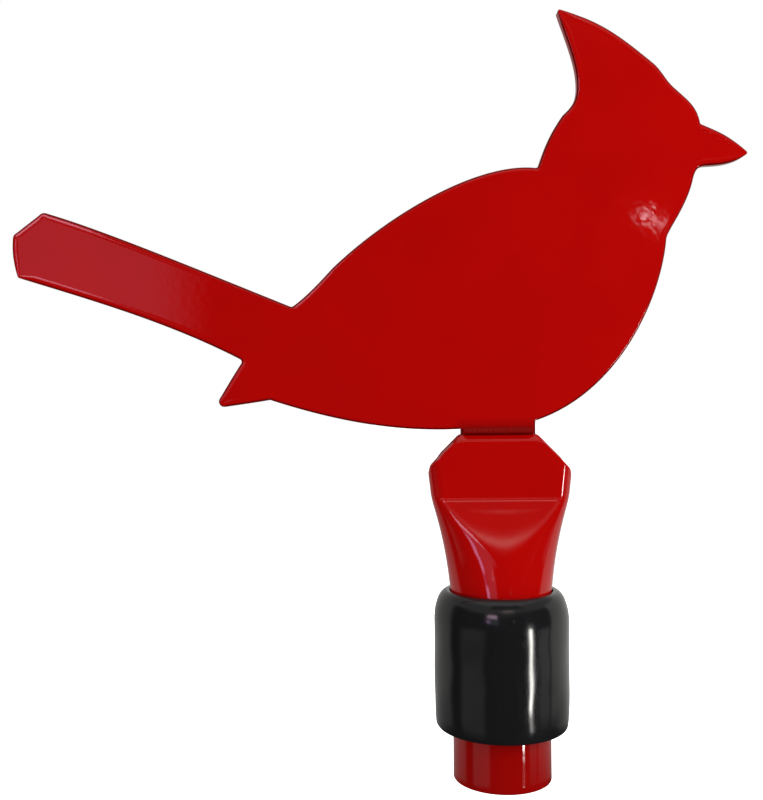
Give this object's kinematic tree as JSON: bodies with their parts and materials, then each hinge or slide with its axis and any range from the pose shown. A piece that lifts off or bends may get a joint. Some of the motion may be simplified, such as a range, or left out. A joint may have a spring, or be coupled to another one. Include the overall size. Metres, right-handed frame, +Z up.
{
  "type": "bird silhouette pole topper",
  "caption": "Flat painted steel bird held by its tab in the pressed end of a tube that slips over a garden pole, with a black collar that slides down over the joint.",
  "frame": {"origin": "middle of the tube's open lower end, where the pole goes in", "axes": "+Z up along the tube towards the bird; +X towards the bird's beak; +Y through the plate's thickness, so the bird is seen side on from -Y"},
  "size_m": [0.1909, 0.035, 0.1992],
  "materials": {
    "red_powder_coat": "gloss",
    "black_collar_rubber": "gloss"
  },
  "bodies": {
    "topper": {"bird_plate": "red_powder_coat", "pole_tube": "red_powder_coat", "weld_bead_front": "red_powder_coat", "weld_bead_rear": "red_powder_coat"},
    "collar": {"slip_collar": "black_collar_rubber"}
  },
  "joints": [
    {"name": "collar_slide", "type": "slide", "parent": "topper", "child": "collar", "axis": [0, 0, -1], "range_m": [0, 0.031]}
  ]
}
